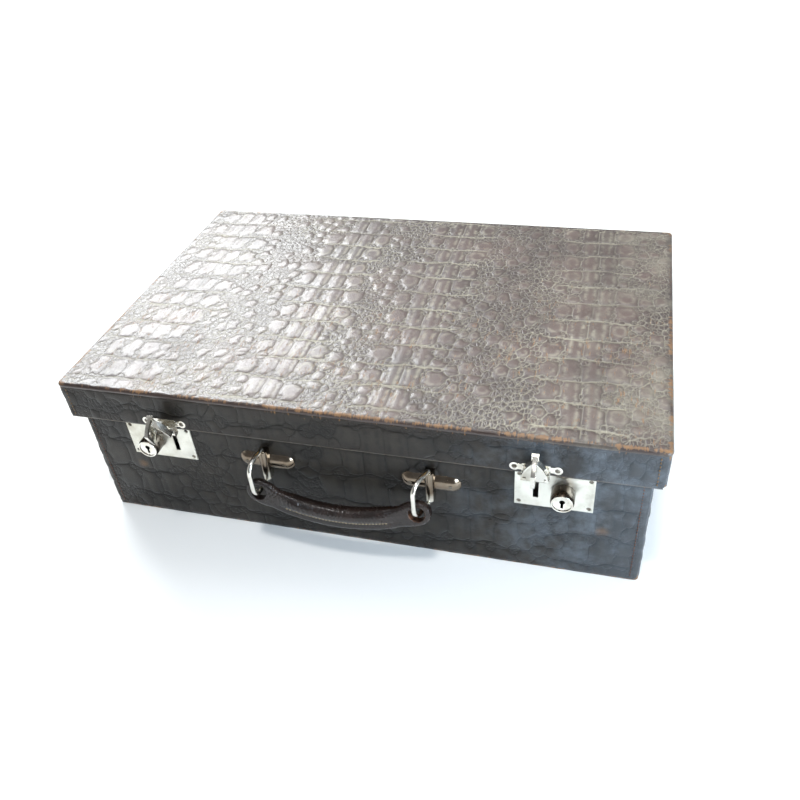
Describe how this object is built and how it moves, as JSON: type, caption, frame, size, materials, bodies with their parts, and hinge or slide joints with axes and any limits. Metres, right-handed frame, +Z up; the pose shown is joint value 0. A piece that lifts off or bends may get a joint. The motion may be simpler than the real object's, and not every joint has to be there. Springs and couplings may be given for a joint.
{
  "type": "attache case",
  "caption": "Small hide case lying flat: overlapping lid on back hinges, nozzle locks with flip-up hasps, leather handle on D-rings, folding lid stays.",
  "frame": {"origin": "middle of the whole object's footprint, hardware included, on the surface it rests on", "axes": "+Z up with the case lying flat, +X along its width, the handle and locks face -Y"},
  "size_m": [0.4, 0.295, 0.121],
  "materials": {
    "hide": "embossed hide, semi-gloss, worn at the edges",
    "hide_top": "embossed hide, glossy, pale dust in the creases",
    "board": "plain fibreboard",
    "lining": "plain cloth",
    "grip_leather": "smooth polished leather",
    "core": "stacked leather strips",
    "spring_steel": "tempered",
    "lock_steel": "plain steel",
    "rivet_steel": "nickel-plated, dull",
    "nickel": "nickel plate, slightly worn"
  },
  "bodies": {
    "base": {"base_frame": "board", "base_bottom_board": "board", "base_leather_bottom": "hide", "base_leather_front": "hide", "base_leather_back": "hide", "base_leather_left": "hide", "base_leather_right": "hide", "base_lining": "lining", "lock_plate_left": "nickel", "lock_plate_right": "nickel", "lock_case_left": "lock_steel", "lock_case_right": "lock_steel", "lock_rivets": "rivet_steel", "lock_spring_left": "spring_steel", "lock_spring_right": "spring_steel", "handle_fitting_left": "nickel", "handle_fitting_right": "nickel", "handle_rivets": "rivet_steel", "hinge_base_leaf_left": "nickel", "hinge_base_leaf_right": "nickel", "hinge_pin_left": "rivet_steel", "hinge_pin_right": "rivet_steel", "hinge_base_rivets": "rivet_steel", "stay_base_studs": "rivet_steel"},
    "lid": {"lid_frame": "board", "lid_top_board": "board", "lid_leather_top": "hide_top", "lid_leather_front": "hide", "lid_leather_back": "hide", "lid_leather_left": "hide", "lid_leather_right": "hide", "lid_lining": "lining", "hasp_plate_left": "nickel", "hasp_plate_right": "nickel", "hasp_pin_left": "rivet_steel", "hasp_pin_right": "rivet_steel", "hasp_rivets": "rivet_steel", "hinge_lid_leaf_left": "nickel", "hinge_lid_leaf_right": "nickel", "hinge_lid_rivets": "rivet_steel", "stay_lid_studs": "rivet_steel"},
    "lock_slide_left": {"lock_bolt_left": "lock_steel", "lock_nozzle_left": "nickel"},
    "lock_slide_right": {"lock_bolt_right": "lock_steel", "lock_nozzle_right": "nickel"},
    "hasp_left": {"hasp_left": "nickel"},
    "hasp_right": {"hasp_right": "nickel"},
    "ring_left": {"ring_left": "nickel"},
    "ring_right": {"ring_right": "nickel"},
    "handle": {"handle_grip": "grip_leather", "handle_core": "core"},
    "stay_lower_left": {"stay_lower_arm_left": "nickel", "stay_elbow_rivet_left": "rivet_steel"},
    "stay_lower_right": {"stay_lower_arm_right": "nickel", "stay_elbow_rivet_right": "rivet_steel"},
    "stay_upper_left": {"stay_upper_arm_left": "nickel"},
    "stay_upper_right": {"stay_upper_arm_right": "nickel"}
  },
  "joints": [
    {"name": "lid_hinge", "type": "hinge", "parent": "base", "child": "lid", "pos_m": [0, 0.14519, 0.0915], "axis": [-1, 0, 0], "range_deg": [0, 100]},
    {"name": "hasp_left_flip", "type": "hinge", "parent": "lid", "child": "hasp_left", "pos_m": [-0.1244, -0.12732, 0.0906], "axis": [-1, 0, 0], "range_deg": [-156, 24]},
    {"name": "hasp_right_flip", "type": "hinge", "parent": "lid", "child": "hasp_right", "pos_m": [0.1244, -0.12732, 0.0906], "axis": [-1, 0, 0], "range_deg": [-170, 10]},
    {"name": "lock_left_slide", "type": "slide", "parent": "base", "child": "lock_slide_left", "axis": [1, 0, 0], "range_m": [0, 0.004]},
    {"name": "lock_right_slide", "type": "slide", "parent": "base", "child": "lock_slide_right", "axis": [-1, 0, 0], "range_m": [0, 0.004]},
    {"name": "ring_left_turn", "type": "hinge", "parent": "base", "child": "ring_left", "pos_m": [-0.0572, -0.12331, 0.068], "axis": [0, 0, 1], "range_deg": [-3, 3]},
    {"name": "ring_right_turn", "type": "hinge", "parent": "base", "child": "ring_right", "pos_m": [0.0572, -0.12331, 0.068], "axis": [0, 0, 1], "range_deg": [-3, 3]},
    {"name": "handle_swing", "type": "hinge", "parent": "base", "child": "handle", "pos_m": [-0.00375, -0.12331, 0.068], "axis": [-1, 0, 0], "range_deg": [0, 80]},
    {"name": "stay_lower_left_turn", "type": "hinge", "parent": "base", "child": "stay_lower_left", "pos_m": [-0.1879, 0.08518, 0.0465], "axis": [-1, 0, 0], "range_deg": [0, 100]},
    {"name": "stay_upper_left_turn", "type": "hinge", "parent": "lid", "child": "stay_upper_left", "pos_m": [-0.1863, 0.08518, 0.1105], "axis": [-1, 0, 0], "range_deg": [-100, 0]},
    {"name": "stay_lower_right_turn", "type": "hinge", "parent": "base", "child": "stay_lower_right", "pos_m": [0.1879, 0.08518, 0.0465], "axis": [-1, 0, 0], "range_deg": [0, 100]},
    {"name": "stay_upper_right_turn", "type": "hinge", "parent": "lid", "child": "stay_upper_right", "pos_m": [0.1863, 0.08518, 0.1105], "axis": [-1, 0, 0], "range_deg": [-100, 0]}
  ],
  "couplings": [
    {"joint": "stay_lower_left_turn", "follows": "lid_hinge", "ratio": 1},
    {"joint": "stay_upper_left_turn", "follows": "lid_hinge", "ratio": -1},
    {"joint": "stay_lower_right_turn", "follows": "lid_hinge", "ratio": 1},
    {"joint": "stay_upper_right_turn", "follows": "lid_hinge", "ratio": -1}
  ]
}
